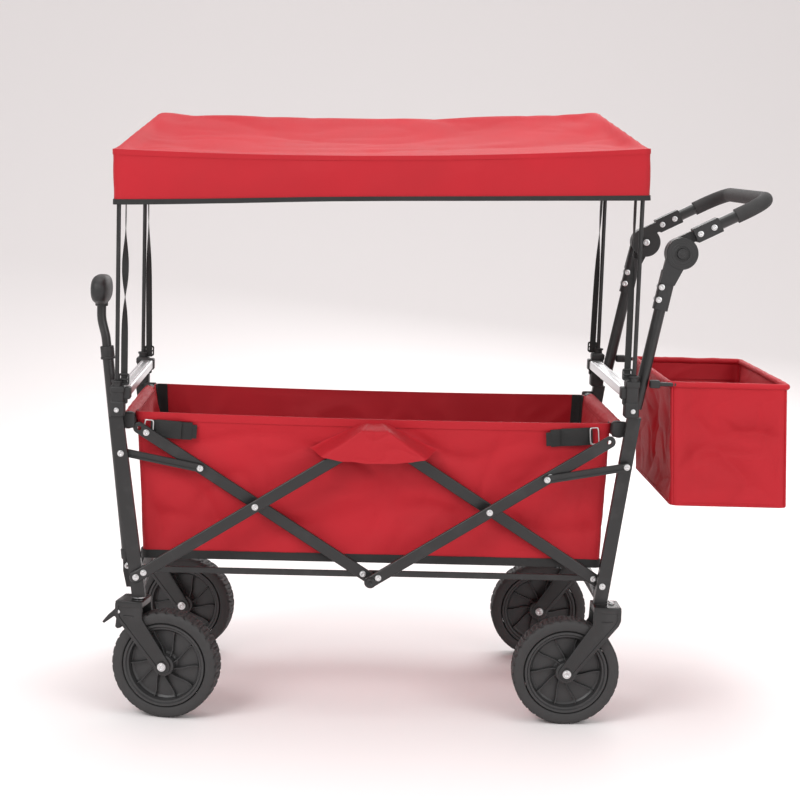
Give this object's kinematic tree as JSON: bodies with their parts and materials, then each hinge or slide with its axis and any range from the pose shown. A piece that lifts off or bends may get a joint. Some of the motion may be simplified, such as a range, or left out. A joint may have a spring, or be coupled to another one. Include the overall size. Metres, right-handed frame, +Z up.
{
  "type": "folding pull wagon",
  "caption": "Folding pull wagon for children with a red fabric tub and canopy on a scissor frame, swivelling front casters, a tilting push handle, a telescoping pull handle and a rear basket.",
  "frame": {"origin": "on the ground, under the middle of the whole wagon's length and width", "axes": "+Z up, -X towards the front (the pull handle), +X towards the push handle"},
  "size_m": [1.3467, 0.5611, 1.1655],
  "materials": {
    "frame_black": "satin powder coat",
    "crossbar_silver": "satin anodised",
    "bolt_steel": "zinc plated",
    "plastic_black": "matte moulded",
    "rim_plastic": "satin moulded",
    "tyre_rubber": "matte",
    "fabric_red": "woven polyester",
    "webbing_black": "woven webbing",
    "mat_fabric": "woven polyester",
    "foam_black": "foam"
  },
  "bodies": {
    "rear_frame": {"rear_posts": "frame_black", "rear_lower_crossbar": "frame_black", "rear_top_crossbar": "crossbar_silver", "rear_corner_brackets": "plastic_black", "rear_rim_tube": "frame_black", "rear_rim_corner_caps": "plastic_black", "rear_forks": "frame_black", "rear_frame_bolts": "bolt_steel", "rear_canopy_hoop": "frame_black", "rear_canopy_straps": "webbing_black", "canopy_fabric": "fabric_red", "tub_fabric": "fabric_red", "floor_mat": "mat_fabric", "handle_lower_tubes": "frame_black", "handle_lower_sleeves": "plastic_black", "basket_bag": "fabric_red", "basket_rod": "frame_black"},
    "rear_inner_bars": {"rear_inner_bars": "frame_black"},
    "rear_outer_bars": {"rear_outer_bars": "frame_black", "rear_outer_bar_bolts": "bolt_steel"},
    "front_outer_bars": {"front_outer_bars": "frame_black", "front_outer_bar_bolts": "bolt_steel"},
    "front_inner_bars": {"front_inner_bars": "frame_black"},
    "top_centre_pins": {"top_centre_bolts": "bolt_steel"},
    "rear_struts": {"rear_struts": "frame_black"},
    "front_struts": {"front_struts": "frame_black"},
    "rear_floor_arms": {"rear_floor_arms": "frame_black"},
    "front_floor_arms": {"front_floor_arms": "frame_black"},
    "front_frame": {"front_posts": "frame_black", "front_lower_crossbar": "frame_black", "front_top_crossbar": "crossbar_silver", "front_corner_brackets": "plastic_black", "front_rim_tube": "frame_black", "front_rim_corner_caps": "plastic_black", "front_frame_bolts": "bolt_steel", "front_canopy_hoop": "frame_black", "front_canopy_straps": "webbing_black", "pull_handle_bracket": "frame_black"},
    "caster_left": {"caster_fork_left": "frame_black", "caster_axle_left": "bolt_steel"},
    "caster_right": {"caster_fork_right": "frame_black", "caster_axle_right": "bolt_steel"},
    "brake_left": {"brake_pedal_left": "plastic_black"},
    "brake_right": {"brake_pedal_right": "plastic_black"},
    "front_left_wheel": {"front_left_tyre": "tyre_rubber", "front_left_rim": "rim_plastic"},
    "front_right_wheel": {"front_right_tyre": "tyre_rubber", "front_right_rim": "rim_plastic"},
    "rear_left_wheel": {"rear_left_tyre": "tyre_rubber", "rear_left_rim": "rim_plastic"},
    "rear_right_wheel": {"rear_right_tyre": "tyre_rubber", "rear_right_rim": "rim_plastic"},
    "pull_handle": {"pull_handle_outer_tube": "frame_black"},
    "pull_grip": {"pull_handle_inner_tube": "frame_black", "pull_handle_grip": "plastic_black"},
    "push_handle": {"handle_upper_sleeves": "plastic_black", "handle_bow": "frame_black", "handle_grip": "foam_black"},
    "tilt_button_left": {"tilt_button_left": "plastic_black"},
    "tilt_button_right": {"tilt_button_right": "plastic_black"}
  },
  "joints": [
    {"name": "frame_fold", "type": "hinge", "parent": "rear_frame", "child": "rear_inner_bars", "pos_m": [0.324, 0, 0.266], "axis": [0, 1, 0], "range_deg": [0, 38], "deforming": ["tub_fabric", "canopy_fabric", "floor_mat"]},
    {"name": "rear_cross_pivot", "type": "hinge", "parent": "rear_inner_bars", "child": "rear_outer_bars", "pos_m": [0.104, 0, 0.405], "axis": [0, 1, 0], "range_deg": [-76.01, 0]},
    {"name": "top_centre_pivot", "type": "hinge", "parent": "rear_inner_bars", "child": "front_outer_bars", "pos_m": [-0.116, 0, 0.544], "axis": [0, 1, 0], "range_deg": [-76.01, 0]},
    {"name": "top_pin_turn", "type": "hinge", "parent": "rear_inner_bars", "child": "top_centre_pins", "pos_m": [-0.116, 0, 0.544], "axis": [0, 1, 0], "range_deg": [-38.01, 0]},
    {"name": "front_cross_pivot", "type": "hinge", "parent": "front_outer_bars", "child": "front_inner_bars", "pos_m": [-0.336, 0, 0.405], "axis": [0, 1, 0], "range_deg": [0, 76.01]},
    {"name": "front_frame_pivot", "type": "hinge", "parent": "front_outer_bars", "child": "front_frame", "pos_m": [-0.556, 0, 0.266], "axis": [0, 1, 0], "range_deg": [0, 38.01]},
    {"name": "rear_strut_pivot", "type": "hinge", "parent": "rear_frame", "child": "rear_struts", "pos_m": [0.3578, 0, 0.499], "axis": [0, 1, 0], "range_deg": [0, 68.82]},
    {"name": "front_strut_pivot", "type": "hinge", "parent": "front_frame", "child": "front_struts", "pos_m": [-0.58772, 0, 0.499], "axis": [0, 1, 0], "range_deg": [-69.64, 0]},
    {"name": "rear_floor_pivot", "type": "hinge", "parent": "rear_frame", "child": "rear_floor_arms", "pos_m": [0.314, 0, 0.272], "axis": [0, 1, 0], "range_deg": [0, 67.36]},
    {"name": "front_floor_pivot", "type": "hinge", "parent": "front_frame", "child": "front_floor_arms", "pos_m": [-0.546, 0, 0.272], "axis": [0, 1, 0], "range_deg": [-67.36, 0]},
    {"name": "caster_swivel_left", "type": "hinge", "parent": "front_frame", "child": "caster_left", "pos_m": [-0.551, -0.2335, 0.2], "axis": [0, 0, 1], "continuous": true},
    {"name": "front_left_wheel_spin", "type": "hinge", "parent": "caster_left", "child": "front_left_wheel", "pos_m": [-0.49622, -0.24514, 0.1016], "axis": [-0.2079, -0.9781, 0], "continuous": true},
    {"name": "brake_left_press", "type": "hinge", "parent": "caster_left", "child": "brake_left", "pos_m": [-0.58034, -0.22726, 0.201], "axis": [-0.2079, -0.9781, 0], "range_deg": [0, 8]},
    {"name": "rear_left_wheel_spin", "type": "hinge", "parent": "rear_frame", "child": "rear_left_wheel", "pos_m": [0.26, -0.238, 0.1016], "axis": [0, 1, 0], "continuous": true},
    {"name": "caster_swivel_right", "type": "hinge", "parent": "front_frame", "child": "caster_right", "pos_m": [-0.551, 0.2335, 0.2], "axis": [0, 0, 1], "continuous": true},
    {"name": "front_right_wheel_spin", "type": "hinge", "parent": "caster_right", "child": "front_right_wheel", "pos_m": [-0.49622, 0.22186, 0.1016], "axis": [-0.2079, -0.9781, 0], "continuous": true},
    {"name": "brake_right_press", "type": "hinge", "parent": "caster_right", "child": "brake_right", "pos_m": [-0.58034, 0.23974, 0.201], "axis": [-0.2079, -0.9781, 0], "range_deg": [0, 8]},
    {"name": "rear_right_wheel_spin", "type": "hinge", "parent": "rear_frame", "child": "rear_right_wheel", "pos_m": [0.26, 0.238, 0.1016], "axis": [0, 1, 0], "continuous": true},
    {"name": "pull_handle_tilt", "type": "hinge", "parent": "front_frame", "child": "pull_handle", "pos_m": [-0.596, 0, 0.234], "axis": [0, -1, 0], "range_deg": [0, 84]},
    {"name": "pull_handle_extend", "type": "slide", "parent": "pull_handle", "child": "pull_grip", "axis": [-0.108, 0, 0.9942], "range_m": [0, 0.28]},
    {"name": "push_handle_tilt", "type": "hinge", "parent": "rear_frame", "child": "push_handle", "pos_m": [0.449, 0, 0.899], "axis": [0, 1, 0], "range_deg": [-55, 60]},
    {"name": "tilt_button_left_press", "type": "slide", "parent": "rear_frame", "child": "tilt_button_left", "axis": [0, 1, 0], "range_m": [0, 0.003], "stiffness_N_per_m": 250},
    {"name": "tilt_button_right_press", "type": "slide", "parent": "rear_frame", "child": "tilt_button_right", "axis": [0, -1, 0], "range_m": [0, 0.003], "stiffness_N_per_m": 250}
  ],
  "couplings": [
    {"joint": "rear_cross_pivot", "follows": "frame_fold", "ratio": -2},
    {"joint": "top_centre_pivot", "follows": "frame_fold", "ratio": -2},
    {"joint": "top_pin_turn", "follows": "frame_fold", "ratio": -1},
    {"joint": "front_cross_pivot", "follows": "frame_fold", "ratio": 2},
    {"joint": "front_frame_pivot", "follows": "frame_fold", "ratio": 1},
    {"joint": "rear_strut_pivot", "follows": "frame_fold", "ratio": 1.8107},
    {"joint": "front_strut_pivot", "follows": "frame_fold", "ratio": -1.8322},
    {"joint": "rear_floor_pivot", "follows": "frame_fold", "ratio": 1.7725},
    {"joint": "front_floor_pivot", "follows": "frame_fold", "ratio": -1.7725}
  ]
}
